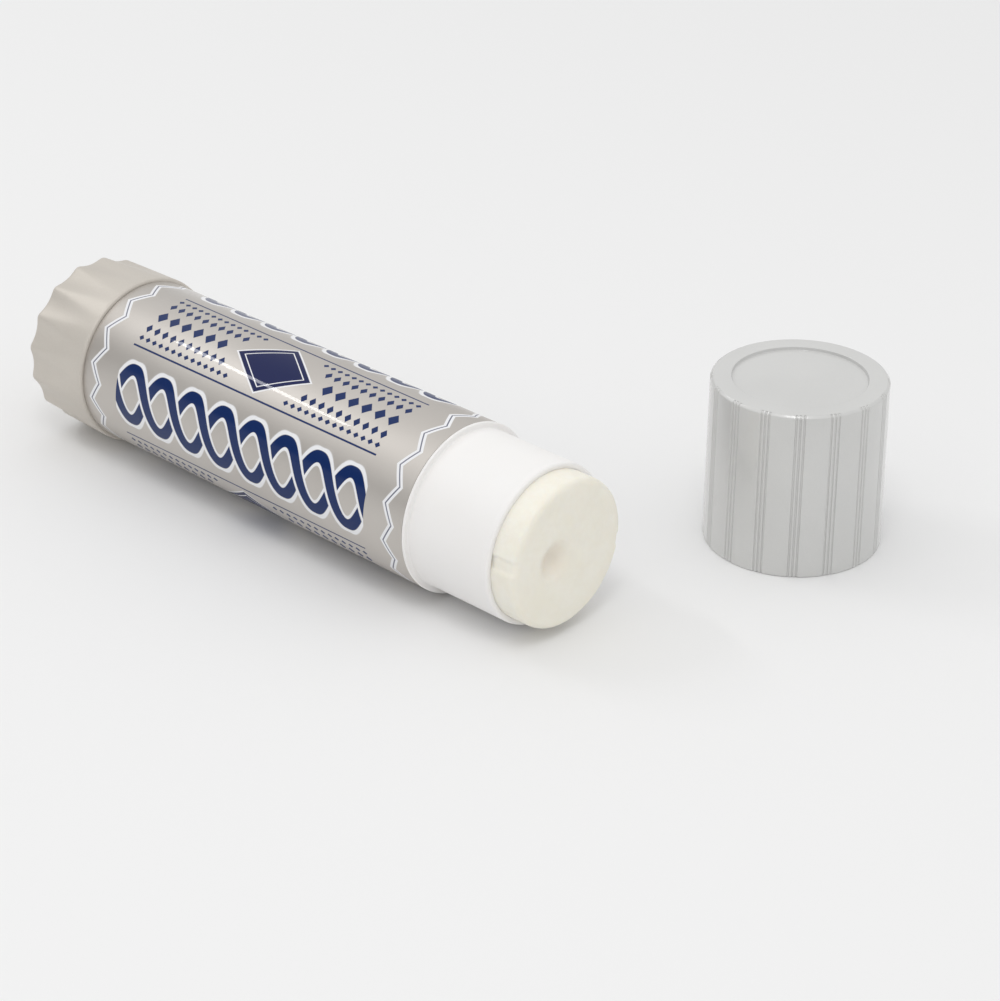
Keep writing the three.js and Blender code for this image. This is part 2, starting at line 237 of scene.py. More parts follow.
# World: its level, its light low down and high up, each with its change between front and back,
# the dark patch low in front, and the pale band round the horizon. A height in it is the upward
# share of a direction, 0 level and 1 straight up.
LIGHT = 0.765
FRONT_AZIMUTH = math.radians(272)
LOW_LIGHT = 0.66
LOW_CHANGE = 0.26
HIGH_LIGHT = 1.2
HIGH_CHANGE = 0.14
LOW_END = 0.36
LOW_END_FADE = 0.24
PATCH_AZIMUTH = math.radians(226)
PATCH_SHADE = 0.5
PATCH_NEAR = 0.8
PATCH_NEAR_FADE = 0.35
PATCH_TOP = 0.45
PATCH_TOP_FADE = 0.3
HORIZON = 0.73
HORIZON_TOP = 0.11
HORIZON_FADE = 0.1

# Lamps, camera and floor, in metres
STRIP_RADIANCE = 12.0
STRIP_LENGTH = 0.26
STRIP_BREADTH = 0.03
STRIP_PLACE = Vector((-0.41, -0.15, 0.457))
STRIP_AIM = Vector((0.0, -0.0214, 0.013))
STRIP_RUN = Vector((0.9, -0.35, 0.0))
FRONT_RADIANCE = 4.5
FRONT_BREADTH = 0.23
FRONT_PLACE = Vector((0.22, -0.25, 0.62))
CAMERA_PLACE = (0.248571, -0.258221, 0.192746)
CAMERA_YAW = 2.3212
CAMERA_PITCH = 0.4997
CAMERA_LENS = 97.94
FLOOR_REACH = 6.0
FLOOR_TONES = ((0.862, 0.862, 0.862, 1), (0.866, 0.866, 0.866, 1))

turn = next(joint for joint in frame["joints"] if joint["name"] == "knob_turn")
ALONG = Vector(turn["axis"]).normalized()
ASIDE = Vector((0, 1, 0))
ABOVE = ALONG.cross(ASIDE)
TO_METRES = Matrix.Diagonal((MM, MM, MM, 1))
STICK = (
    Matrix.Translation(Vector(turn["pos_m"]))
    @ Matrix((ASIDE, ABOVE, ALONG)).transposed().to_4x4()
    @ TO_METRES
)
cap_low, cap_high = (Vector(corner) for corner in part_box("cap"))
cap_middle = (cap_low + cap_high) / 2
CAP = Matrix.Translation((cap_middle.x, cap_middle.y, 0)) @ TO_METRES


# Node trees

class Field:
    """A value in a node tree. Arithmetic on it adds Math nodes."""

    def __init__(self, tree, socket):
        self.tree = tree
        self.socket = socket

    def math(self, operation, *others):
        made = node(self.tree, "ShaderNodeMath", enumerate((self, *others)), operation=operation)
        return Field(self.tree, made.outputs[0])

    def __add__(self, other):
        return self.math("ADD", other)

    def __sub__(self, other):
        return self.math("SUBTRACT", other)

    def __mul__(self, other):
        return self.math("MULTIPLY", other)

    def __truediv__(self, other):
        return self.math("DIVIDE", other)

    def __mod__(self, other):
        return self.math("FLOORED_MODULO", other)

    def __abs__(self):
        return self.math("ABSOLUTE")

    def __neg__(self):
        return self.math("MULTIPLY", -1.0)

    __radd__ = __add__
    __rmul__ = __mul__

    def __rsub__(self, other):
        return -self + other

    def __rtruediv__(self, other):
        return self.math("POWER", -1.0) * other

    def root(self):
        return self.math("SQRT")

    def least(self, other):
        return self.math("MINIMUM", other)

    def most(self, other):
        return self.math("MAXIMUM", other)

    def rising(self, edge, softness):
        """0 well below the edge, 1 well above it."""
        return step_field(self, edge, softness, 0.0, 1.0)

    def falling(self, edge, softness):
        return step_field(self, edge, softness, 1.0, 0.0)

    def band(self, low, high, softness):
        return self.rising(low, softness) * self.falling(high, softness)


def feed(tree, slot, value):
    if isinstance(value, Field):
        value = value.socket
    if isinstance(value, bpy.types.NodeSocket):
        tree.links.new(value, slot)
    else:
        slot.default_value = value


def node(tree, kind, inputs=(), **settings):
    made = tree.nodes.new(kind)
    for key, value in settings.items():
        setattr(made, key, value)
    for key, value in dict(inputs).items():
        feed(tree, made.inputs[key], value)
    return made


def step_field(value, edge, softness, before, after):
    half = softness * 0.5
    inputs = {
        "Value": value,
        "From Min": edge - half,
        "From Max": edge + half,
        "To Min": before,
        "To Max": after,
    }
    made = node(value.tree, "ShaderNodeMapRange", inputs, interpolation_type="SMOOTHSTEP")
    return Field(value.tree, made.outputs["Result"])


def parts_of(tree, vector):
    made = node(tree, "ShaderNodeSeparateXYZ", {0: vector})
    return [Field(tree, socket) for socket in made.outputs]


def noise_field(tree, vector, scale, detail=2.0, roughness=0.5):
    inputs = {"Vector": vector, "Scale": scale, "Detail": detail, "Roughness": roughness}
    made = node(tree, "ShaderNodeTexNoise", inputs)
    return Field(tree, made.outputs[0])


def mixed(tree, share, first, second):
    """Colour between two colours, by a share from 0 to 1."""
    made = node(tree, "ShaderNodeMix", data_type="RGBA")
    sockets = {socket.identifier: socket for socket in made.inputs}
    feed(tree, sockets["Factor_Float"], share)
    feed(tree, sockets["A_Color"], first)
    feed(tree, sockets["B_Color"], second)
    return next(s for s in made.outputs if s.identifier == "Result_Color")


# Turned forms

def rounded(corners, steps=5):
    """Outline through corners (radius, height, rounding)."""
    points = []
    for index, (radius, height, rounding) in enumerate(corners):
        here = Vector((radius, height))
        if not rounding:
            points.append(here)
            continue
        back = (Vector(corners[index - 1][:2]) - here).normalized()
        ahead = (Vector(corners[(index + 1) % len(corners)][:2]) - here).normalized()
        half = back.angle(ahead) / 2
        centre = here + (back + ahead).normalized() * (rounding / math.sin(half))
        reach = rounding / math.tan(half)
        spoke = here + back * reach - centre
        last = here + ahead * reach - centre
        sweep = math.pi - 2 * half
        if spoke.x * last.y - spoke.y * last.x < 0:
            sweep = -sweep
        for step in range(steps + 1):
            angle = sweep * step / steps
            cos, sin = math.cos(angle), math.sin(angle)
            swung = Vector((spoke.x * cos - spoke.y * sin, spoke.x * sin + spoke.y * cos))
            points.append(centre + swung)
    return points


def filled_in(outline, longest, low, high, least_radius=0):
    """The outline with points added between two heights, where its steps are longer."""
    points = []
    for here, there in zip(outline, outline[1:] + outline[:1]):
        points.append(here)
        outside = min(here.y, there.y) < low - SLACK or max(here.y, there.y) > high + SLACK
        if outside or min(here.x, there.x) < least_radius:
            continue
        pieces = math.ceil((there - here).length / longest)
        points.extend(here.lerp(there, step / pieces) for step in range(1, pieces))
    return points


def even_angles(count):
    return [TAU * step / count for step in range(count)]


def angles_with_lines(count, turn_degrees, groups, lines, spacing, width, softness, radius):
    """Even angles, and closer ones where lines run along the form."""
    reach = (width + softness) / 2
    flat = (width - softness) / 2
    offsets = (-reach, -width / 2, -flat, 0, flat, width / 2, reach)
    marked = []
    for group in range(groups):
        for line in range(lines):
            middle = (line - (lines - 1) / 2) * spacing
            for offset in offsets:
                angle = math.radians(turn_degrees) + TAU * group / groups + (middle + offset) / radius
                marked.append(angle % TAU)
    apart = 0.3 * TAU / count
    plain = [
        angle for angle in even_angles(count)
        if all(abs((angle - other + math.pi) % TAU - math.pi) > apart for other in marked)
    ]
    return sorted(marked + plain)


def turned(name, outline, angles):
    """Closed form turned about +Z. The outline runs anticlockwise."""
    vertices = []
    rows = []
    for radius, height in outline:
        first = len(vertices)
        if radius < SLACK:
            vertices.append((0, 0, height))
            rows.append([first] * len(angles))
        else:
            vertices.extend((radius * math.cos(a), radius * math.sin(a), height) for a in angles)
            rows.append(list(range(first, first + len(angles))))
    faces = []
    for low, high in zip(rows, rows[1:] + rows[:1]):
        for here in range(len(angles)):
            there = (here + 1) % len(angles)
            corners = list(dict.fromkeys((low[here], low[there], high[there], high[here])))
            if len(corners) > 2:
                faces.append(corners)
    mesh = bpy.data.meshes.new(name)
    mesh.from_pydata(vertices, [], faces)
    piece = bpy.data.objects.new(name, mesh)
    bpy.context.scene.collection.objects.link(piece)
    return piece


# Geometry node trees. Each moves the points of a turned form in or out along their radius.

def shaping_tree(name, input_names):
    tree = bpy.data.node_groups.new(name, "GeometryNodeTree")
    tree.interface.new_socket("Geometry", in_out="INPUT", socket_type="NodeSocketGeometry")
    for label in input_names:
        tree.interface.new_socket(label, in_out="INPUT", socket_type="NodeSocketFloat")
    tree.interface.new_socket("Material", in_out="INPUT", socket_type="NodeSocketMaterial")
    tree.interface.new_socket("Geometry", in_out="OUTPUT", socket_type="NodeSocketGeometry")
    start = tree.nodes.new("NodeGroupInput")
    values = {label: Field(tree, start.outputs[label]) for label in input_names}
    x, y, z = parts_of(tree, tree.nodes.new("GeometryNodeInputPosition").outputs[0])
    values["x"], values["y"], values["height"] = x, y, z
    values["radius"] = (x * x + y * y).root()
    values["angle"] = y.math("ARCTAN2", x)
    return tree, start, values


def close_tree(tree, start, values, new_radius):
    """Sets the new radius, then ends in real geometry with its material."""
    scale = new_radius / values["radius"].most(SLACK)
    place = node(tree, "ShaderNodeCombineXYZ", {
        0: values["x"] * scale, 1: values["y"] * scale, 2: values["height"],
    })
    moved = node(tree, "GeometryNodeSetPosition", {
        "Geometry": start.outputs["Geometry"], "Position": place.outputs[0],
    })
    real = node(tree, "GeometryNodeRealizeInstances", {"Geometry": moved.outputs[0]})
    clad = node(tree, "GeometryNodeSetMaterial", {
        "Geometry": real.outputs[0], "Material": start.outputs["Material"],
    })
    node(tree, "NodeGroupOutput", {0: clad.outputs[0]})
    return tree


def make_line_tree():
    """Lines along the form, in groups, that draw it in: grooves outside, ribs in a bore."""
    names = [
        "Groups", "Turn", "Lines", "Spacing", "Width", "Softness", "Depth", "From", "To", "Fade",
        "Inner", "Outer",
    ]
    tree, start, v = shaping_tree("lines_along", names)
    pitch = TAU / v["Groups"]
    across = ((v["angle"] - v["Turn"] + pitch * 0.5) % pitch - pitch * 0.5) * v["radius"]
    furthest = (v["Lines"] - 1.0) * 0.5
    shift = furthest - furthest.math("FLOOR")
    nearest = (across / v["Spacing"] - shift).math("ROUND") + shift
    nearest = nearest.least(furthest).most(-furthest)
    off = abs(across - nearest * v["Spacing"])
    share = off.falling(v["Width"] * 0.5, v["Softness"])
    share = share * v["height"].band(v["From"], v["To"], v["Fade"])
    share = share * v["radius"].band(v["Inner"], v["Outer"], TINY)
    return close_tree(tree, start, v, v["radius"] - v["Depth"] * share)


def make_flute_tree():
    """Flutes like prints of a round bar that leans out; neighbours meet in soft ridges."""
    names = [
        "Flutes", "Depth", "Run", "Reach", "Ridge softness", "Side softness", "End radius",
        "Length", "Skirt",
    ]
    tree, start, v = shaping_tree("flutes", names)
    half_pitch = math.pi / v["Flutes"]
    half_chord = v["Reach"] * half_pitch.math("SINE")
    sagitta = v["Depth"] - v["Reach"] * (1.0 - half_pitch.math("COSINE"))
    bar = (half_chord * half_chord + sagitta * sagitta) / (sagitta * 2.0)
    off = abs((v["angle"] + half_pitch) % (half_pitch * 2.0) - half_pitch)
    depth = v["Depth"] * (1.0 - v["height"] / v["Run"])
    bar_axis = v["Reach"] - depth + bar

    def flute_radius(turn):
        aside = bar_axis * turn.math("SINE")
        return bar_axis * turn.math("COSINE") - (bar * bar - aside * aside).most(0.0).root()

    own = flute_radius(off)
    neighbour = flute_radius(half_pitch * 2.0 - off)
    ridged = own.math("SMOOTH_MIN", neighbour, v["Ridge softness"])
    side = v["End radius"] + (v["Reach"] - v["End radius"]) * v["height"] / v["Length"]
    drawn_in = side - side.math("SMOOTH_MIN", ridged, v["Side softness"])
    share = v["radius"].rising((v["Skirt"] + side) * 0.5, (side - v["Skirt"]) * 0.6)
    return close_tree(tree, start, v, v["radius"] - drawn_in * share)


def make_thread_tree():
    """A left-hand ridge wound round a core, and a foot with six sides."""
    names = ["Core", "Crest", "Lead", "Crest width", "Root width", "From", "To", "Foot end"]
    tree, start, v = shaping_tree("thread", names)
    lead = v["Lead"]
    wound = v["height"] + lead * (v["angle"] + math.pi / 2) / TAU
    off = abs((wound + lead * 0.5) % lead - lead * 0.5)
    flank = (v["Root width"] - v["Crest width"]) * 0.5
    share = off.falling((v["Crest width"] + v["Root width"]) * 0.25, flank)
    share = share * v["height"].rising(v["From"], THREAD_START_FADE)
    share = share * v["height"].falling(v["To"], THREAD_END_FADE)
    share = share * v["radius"].falling(v["Core"] + CORE_BAND, CORE_BAND)
    share = share * v["radius"].rising(v["Core"] - CORE_BAND, CORE_BAND)
    corner = abs(v["angle"] % (math.pi / 3) - math.pi / 6)
    six_sided = v["radius"] * (math.cos(math.pi / 6) / corner.math("COSINE"))
    foot = v["height"].falling(v["Foot end"], TINY)
    radius = v["radius"] + (v["Crest"] - v["Core"]) * share
    return close_tree(tree, start, v, radius + (six_sided - v["radius"]) * foot)


def shaped(piece, tree, values, material):
    """Runs the tree on the piece and leaves a plain mesh."""
    modifier = piece.modifiers.new(tree.name, "NODES")
    modifier.node_group = tree
    values = dict(values, Material=material)
    for item in tree.interface.items_tree:
        if item.in_out == "INPUT" and item.name in values:
            modifier[item.identifier] = values[item.name]
    graph = bpy.context.evaluated_depsgraph_get()
    mesh = bpy.data.meshes.new_from_object(piece.evaluated_get(graph), depsgraph=graph)
    piece.modifiers.clear()
    piece.data = mesh


def placed(piece, placement, material, body, stands_for, sharp=38):
    mesh = piece.data
    mesh.transform(placement)
    mesh.materials.clear()
    mesh.materials.append(material)
    mesh.polygons.foreach_set("material_index", [0] * len(mesh.polygons))
    mesh.shade_smooth()
    mesh.set_sharp_from_angle(angle=math.radians(sharp))
    mesh.update()
    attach(piece, body)
    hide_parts(stands_for)


# Finishes

def finish_of(name, **sockets):
    """New material with a shader whose uniform values are set on its own sockets."""
    material = bpy.data.materials.new(name)
    material.use_nodes = True
    tree = material.node_tree
    shader = tree.nodes["Principled BSDF"]
    for key, value in sockets.items():
        shader.inputs[key.replace("_", " ")].default_value = value
    here = tree.nodes.new("ShaderNodeTexCoord").outputs["Object"]
    return material, tree, shader, here


def bump(tree, here, scale, detail, strength, distance, before=None):
    """Normal made uneven by a noise, on top of the one before it."""
    height = noise_field(tree, here, scale, detail)
    inputs = {"Height": height, "Strength": strength, "Distance": distance}
    if before:
        inputs["Normal"] = before
    return node(tree, "ShaderNodeBump", inputs).outputs[0]


def moulded(name, pale, deep, grain, **sockets):
    """Moulded plastic: cloudy shift of tone, fine grain and faint orange peel."""
    material, tree, shader, here = finish_of(name, **sockets)
    cloud = noise_field(tree, here, scale=90.0, detail=3.0).rising(0.5, 0.5)
    flecks = noise_field(tree, here, scale=5200.0, roughness=0.6).rising(0.55, 0.4)
    tone = mixed(tree, cloud * 0.65 + flecks * 0.35, deep, pale)
    feed(tree, shader.inputs["Base Color"], tone)
    peel = bump(tree, here, scale=700.0, detail=2.0, strength=0.12 * grain, distance=0.0002)
    fine = bump(
        tree, here, scale=4200.0, detail=2.0, strength=0.16 * grain, distance=0.00006, before=peel,
    )
    feed(tree, shader.inputs["Normal"], fine)
    return material


def glue_finish():
    """Dried glue: waxy and faintly patchy, with painted shade that makes the hollow of its face a
    little darker and pinker, and its face a little darker than its sides.
    """
    material, tree, shader, here = finish_of(
        "dried_glue", Roughness=0.4, Subsurface_Weight=0.22, Subsurface_Scale=0.0012, IOR=1.45,
        Subsurface_Radius=(1.0, 0.85, 0.6),
    )
    deep = (0.905, 0.872, 0.765, 1)
    pale = (0.93, 0.905, 0.82, 1)
    smeared = (0.88, 0.83, 0.72, 1)
    # The next two colours are painted shade: one for the hollow of the face, one for the face itself
    painted_hollow_shade = (0.80, 0.72, 0.61, 1)
    painted_face_shade = (0.86, 0.825, 0.715, 1)
    patches = noise_field(tree, here, scale=230.0, detail=3.0, roughness=0.55).rising(0.5, 0.4)
    smears = noise_field(tree, here, scale=800.0, detail=3.0, roughness=0.6).rising(0.55, 0.3)
    tone = mixed(tree, patches, deep, pale)
    tone = mixed(tree, smears * 0.3, tone, smeared)
    hollow = STICK @ Vector((*DIMPLE_AT, GLUE_FACE))
    away = node(tree, "ShaderNodeVectorMath", {0: here, 1: tuple(hollow)}, operation="DISTANCE")
    shade = Field(tree, away.outputs["Value"]).falling(DIMPLE_R * 0.75 * MM, DIMPLE_R * 0.9 * MM)
    # Painted shade: the hollow of the face is made darker and pinker, where its walls lie in shade
    tone = mixed(tree, shade * 0.6, tone, painted_hollow_shade)
    face = along_stick(tree, here).rising(GLUE_FACE - 0.35, 0.5)
    # Painted shade: the face is made a little darker and yellower than the glue's sides
    tone = mixed(tree, face * 0.25, tone, painted_face_shade)
    feed(tree, shader.inputs["Base Color"], tone)
    soft = bump(tree, here, scale=420.0, detail=3.0, strength=0.35, distance=0.0004)
    fine = bump(tree, here, scale=2400.0, detail=3.0, strength=0.2, distance=0.0001, before=soft)
    feed(tree, shader.inputs["Normal"], fine)
    return material


def along_stick(tree, here):
    """Height along the stick's axis, in millimetres."""
    made = node(tree, "ShaderNodeVectorMath", {0: here, 1: tuple(ALONG)}, operation="DOT_PRODUCT")
    start = Vector(turn["pos_m"]).dot(ALONG)
    return (Field(tree, made.outputs["Value"]) - start) * (1 / MM)


def print_finish():
    """Silver film with dark blue and white print, laid out on the label's own map in mm."""
    material, tree, shader, here = finish_of(
        "printed_label", Coat_Weight=0.5, Coat_Roughness=0.035, Coat_IOR=1.5,
        Specular_IOR_Level=0.05,
    )
    film_deep = (0.565, 0.532, 0.498, 1)
    film_pale = (0.60, 0.57, 0.535, 1)
    white_print = (0.86, 0.865, 0.885, 1)
    blue_print = (0.003, 0.021, 0.11, 1)
    badge_print = (0.0, 0.006, 0.07, 1)
    layout = node(tree, "ShaderNodeUVMap", uv_map="print")
    around, along, _ = parts_of(tree, layout.outputs[0])
    girth = TAU * LABEL_R

    def aside_from(degrees):
        """Distance round the label from the nearest repeat of the line at this angle."""
        repeat = girth / REPEATS
        return (around - girth * degrees / 360 + repeat / 2) % repeat - repeat / 2

    def zigzag(low, high, tip_degrees, towards):
        """Distance from a zigzag line between two heights, with a tip at this angle."""
        pitch = girth / ZIGZAGS
        share = ((around - girth * tip_degrees / 360) / pitch) % 1.0
        away = abs(share - 0.5) * 2.0
        line = (low + high) / 2 + (away - 0.5) * (towards * (high - low))
        slope = (high - low) / (pitch / 2)
        return abs(along - line) * (1 / math.hypot(1, slope))

    def twist():
        """Two strands wound round each other: masks of the blue and of its white edge."""
        turns = (along - TWIST_FROM) * (TAU / TWIST_WAVE)
        climb = turns.math("COSINE") * (TWIST_REACH * TAU / TWIST_WAVE)
        blues = []
        whites = []
        for side in (1, -1):
            off = abs(aside_from(TWIST_AT) - turns.math("SINE") * (TWIST_REACH * side))
            off = off / (climb * climb + 1.0).root()
            blues.append(off.falling(STRAND / 2, 0.12))
            whites.append(off.falling(STRAND / 2 + STRAND_EDGE, 0.2))
        one_in_front = (blues[1] * (1.0 - whites[0])).most(blues[0])
        other_in_front = (blues[0] * (1.0 - whites[1])).most(blues[1])
        blue = other_in_front + (one_in_front - other_in_front) * climb.rising(0.0, 0.01)
        inside = along.band(TWIST_FROM, TWIST_TO, 0.08)
        return blue * inside, whites[0].most(whites[1]) * inside

    beside = abs(aside_from(PANEL_AT))
    beyond = abs(along - PANEL_MIDDLE)

    def lozenges(aside, start, pitch, length, breadth):
        """Rows on both sides of the panel's line, from this far off its middle to its ends."""
        share = abs((beyond - start) % pitch - pitch / 2)
        shape = share * (2 / length) + abs(beside - aside) * (2 / breadth)
        return shape.falling(1.0, 0.12) * beyond.band(start, PANEL_REACH, 0.02)

    low_border = zigzag(*ZIGZAG_LOW, ZIGZAG_LOW_TIP, -1)
    border = low_border.least(zigzag(*ZIGZAG_HIGH, ZIGZAG_HIGH_TIP, 1))
    small = abs(beside - STRIPE_ASIDE).falling(STRIPE / 2, 0.06) * beyond.falling(PANEL_REACH, 0.06)
    small = small.most(lozenges(aside=0.0, start=9.6, pitch=2.6, length=2.0, breadth=2.2))
    small = small.most(lozenges(aside=2.6, start=7.7, pitch=1.75, length=1.2, breadth=1.5))
    small = small.most(lozenges(aside=4.35, start=5.6, pitch=1.4, length=1.0, breadth=0.9))

    badge = beside * (2 / BADGE_BREADTH) + beyond * (2 / BADGE_LENGTH)
    solid = badge.falling(1.0, 0.03)
    keyline = badge.band(*BADGE_KEYLINE, 0.012)
    ring = badge.band(*BADGE_RING, 0.03)

    blue, white = twist()
    core_line = border.falling(ZIGZAG_BLUE, 0.05)
    blue = blue.most(small).most(core_line * 0.75).most(solid * (1.0 - keyline))
    white = white.most(border.falling(ZIGZAG_WHITE, 0.1)).most(ring).most(keyline)
    white = white * (1.0 - blue)

    drift = noise_field(tree, here, scale=55.0).rising(0.5, 0.6)
    film = mixed(tree, drift, film_deep, film_pale)
    shade = mixed(tree, white, film, white_print)
    ink = mixed(tree, solid, blue_print, badge_print)
    feed(tree, shader.inputs["Base Color"], mixed(tree, blue, shade, ink))
    bare = 1.0 - blue.most(white)
    feed(tree, shader.inputs["Metallic"], bare * 0.9)
    feed(tree, shader.inputs["Roughness"], bare * 0.02 + 0.48)
    ripple = bump(tree, here, scale=130.0, detail=2.0, strength=0.05, distance=0.0006)
    fine = bump(
        tree, here, scale=3000.0, detail=2.0, strength=0.08, distance=0.00005, before=ripple,
    )
    waves = bump(tree, here, scale=75.0, detail=1.0, strength=0.06, distance=0.0006)
    feed(tree, shader.inputs["Normal"], fine)
    feed(tree, shader.inputs["Coat Normal"], waves)
    return material


barrel_white = moulded(
    "white_barrel_plastic", pale=(0.935, 0.92, 0.905, 1), deep=(0.92, 0.90, 0.88, 1),
    grain=0.5, Roughness=0.48, IOR=1.45, Subsurface_Weight=0.25, Subsurface_Scale=0.0012,
    Subsurface_Radius=(1.0, 0.97, 0.92),
)
knob_pearl = moulded(
    "pearl_knob_plastic", pale=(0.63, 0.59, 0.535, 1), deep=(0.58, 0.54, 0.485, 1),
    grain=1.0, Roughness=0.46, IOR=1.45, Metallic=0.3,
)
cap_pearl = moulded(
    "pearl_cap_plastic", pale=(0.65, 0.65, 0.637, 1), deep=(0.61, 0.61, 0.598, 1),
    grain=1.0, Roughness=0.4, IOR=1.5, Metallic=0.15, Coat_Weight=1.0, Coat_Roughness=0.08,
)
inner_natural = moulded(
    "natural_inner_plastic", pale=(0.86, 0.84, 0.79, 1), deep=(0.82, 0.795, 0.745, 1),
    grain=0.8, Roughness=0.45, IOR=1.5,
)
label_print = print_finish()
glue_cream = glue_finish()

line_tree = make_line_tree()
flute_tree = make_flute_tree()
thread_tree = make_thread_tree()


# Pieces

def make_barrel():
    outline = rounded([
        (BEARING_R, WEB_BOTTOM, FINE_EDGE),
        (TAIL_R - BEAD, WEB_BOTTOM, 0),
        (TAIL_R, WEB_BOTTOM + BEAD, FINE_EDGE),
        (TAIL_R, BEAD_HEIGHT - BEAD, 0),
        (TAIL_R + BEAD, BEAD_HEIGHT, FINE_EDGE),
        (TAIL_R, BEAD_HEIGHT + BEAD, 0),
        (TAIL_R, BODY_START, FINE_EDGE),
        (PANEL_R, BODY_START, BODY_EDGE),
        (PANEL_R, SHOULDER - LABEL_MARGIN, LABEL_EDGE),
        (BARREL_R, SHOULDER - LABEL_MARGIN, LABEL_EDGE),
        (BARREL_R, SHOULDER, BODY_EDGE),
        (NECK_R, SHOULDER, NECK_FOOT_EDGE),
        (NECK_R, MOUTH, MOUTH_EDGE),
        (BORE_R, MOUTH, MOUTH_INNER_EDGE),
        (BORE_R, MOUTH - NECK_WALL + RIB_FADE, 0),
        (BORE_R, MOUTH - NECK_WALL, 0),
        (BORE_R, MOUTH - NECK_WALL - RIB_FADE, 0),
        (BORE_R, BORE_START, 0),
        (TAIL_INNER_R, BORE_START - (BORE_R - TAIL_INNER_R), 0),
        (TAIL_INNER_R, WEB_TOP, WEB_EDGE),
        (BEARING_R, WEB_TOP, FINE_EDGE),
    ])
    outline = filled_in(outline, NECK_ROWS, SHOULDER, MOUTH)
    outline = filled_in(outline, BORE_ROWS, BORE_START, MOUTH - NECK_WALL - RIB_FADE)
    angles = angles_with_lines(
        ROUND, RIB_TURN, RIBS, lines=1, spacing=1.0, width=RIB_WIDTH, softness=RIB_EDGE,
        radius=BORE_R,
    )
    barrel = turned("barrel_shell", outline, angles)
    shaped(barrel, line_tree, {
        "Groups": float(RIBS), "Turn": math.radians(RIB_TURN), "Lines": 1.0, "Spacing": 1.0,
        "Width": RIB_WIDTH, "Softness": RIB_EDGE, "Depth": RIB_HEIGHT, "From": BORE_START,
        "To": MOUTH - NECK_WALL, "Fade": 2 * RIB_FADE, "Inner": BORE_R - NEAR,
        "Outer": BORE_R + NEAR,
    }, barrel_white)
    placed(barrel, STICK, barrel_white, "barrel", "barrel")


def make_label():
    """Printed sleeve; its end laps over its start, a little proud."""
    outline = rounded([
        (LABEL_INNER_R, LABEL_FROM, 0),
        (LABEL_R, LABEL_FROM, LABEL_EDGE),
        (LABEL_R, LABEL_TO, LABEL_EDGE),
        (LABEL_INNER_R, LABEL_TO, 0),
    ], steps=3)
    seam = math.radians(LAP_AT)
    lap_turn = LAP_WIDTH / LABEL_R
    angles = sorted(even_angles(ROUND) + [seam - LAP_STEP, seam + LAP_STEP, seam + lap_turn])
    label = turned("label_sleeve", outline, angles)
    mesh = label.data
    layer = mesh.uv_layers.new(name="print")
    for polygon in mesh.polygons:
        corners = [mesh.vertices[vertex].co for vertex in polygon.vertices]
        turns = [(math.atan2(co.y, co.x) - seam) % TAU for co in corners]
        crosses = max(turns) - min(turns) > math.pi
        for loop, co, angle in zip(polygon.loop_indices, corners, turns):
            if crosses and angle < math.pi:
                angle += TAU
            layer.data[loop].uv = ((angle + seam) * LABEL_R, co.z)
    for vertex in mesh.vertices:
        co = vertex.co
        angle = (math.atan2(co.y, co.x) - seam) % TAU
        if angle < lap_turn and math.hypot(co.x, co.y) > (LABEL_INNER_R + LABEL_R) / 2:
            proud = 1 + LAP_RISE * (1 - angle / lap_turn) / LABEL_R
            co.x *= proud
            co.y *= proud
    placed(label, STICK, label_print, "barrel", "label")


def make_knob():
    groove_r = TAIL_R + BEAD + SNAP_GAP
    outline = rounded([
        (0, KNOB_RECESS + GATE_DEPTH, 0),
        (GATE_R - GATE_DEPTH, KNOB_RECESS + GATE_DEPTH, FINE_EDGE),
        (GATE_R, KNOB_RECESS, FINE_EDGE),
        (KNOB_RECESS_R - KNOB_EDGE, KNOB_RECESS, KNOB_FINE_EDGE),
        (KNOB_RECESS_R, 0, KNOB_FINE_EDGE),
        (KNOB_END_R, 0, KNOB_END_EDGE),
        (KNOB_R, KNOB_LENGTH, KNOB_RIM_EDGE),
        (KNOB_SKIRT_R, KNOB_LENGTH, KNOB_FINE_EDGE),
        (KNOB_SKIRT_R, BEAD_HEIGHT + SNAP_REACH, 0),
        (groove_r, BEAD_HEIGHT + BEAD, 0),
        (groove_r, BEAD_HEIGHT - BEAD, 0),
        (KNOB_SKIRT_R, BEAD_HEIGHT - SNAP_REACH, 0),
        (KNOB_SKIRT_R, KNOB_BASE + KNOB_RECESS, KNOB_FLOOR_EDGE),
        (HUB_R, KNOB_BASE + KNOB_RECESS, HUB_FOOT_EDGE),
        (HUB_R, HUB_TOP, KNOB_FINE_EDGE),
        (SOCKET_R, HUB_TOP, FINE_EDGE),
        (SOCKET_R, KNOB_BASE, 0),
        (0, KNOB_BASE, 0),
    ], steps=6)
    outline = filled_in(outline, FLUTE_ROWS, 0, KNOB_LENGTH, KNOB_SKIRT_R + NEAR)
    outline = filled_in(outline, FLUTE_END_ROWS, -TINY, TINY, KNOB_RECESS_R)
    knob = turned("knob_grip", outline, even_angles(FLUTES * FLUTE_SIDES))
    shaped(knob, flute_tree, {
        "Flutes": float(FLUTES), "Depth": FLUTE_DEPTH, "Run": FLUTE_RUN, "Reach": KNOB_R,
        "Ridge softness": RIDGE_SOFTNESS, "Side softness": SIDE_SOFTNESS,
        "End radius": KNOB_END_R, "Length": KNOB_LENGTH, "Skirt": KNOB_SKIRT_R,
    }, knob_pearl)
    placed(knob, STICK, knob_pearl, "knob", "knob", sharp=50)


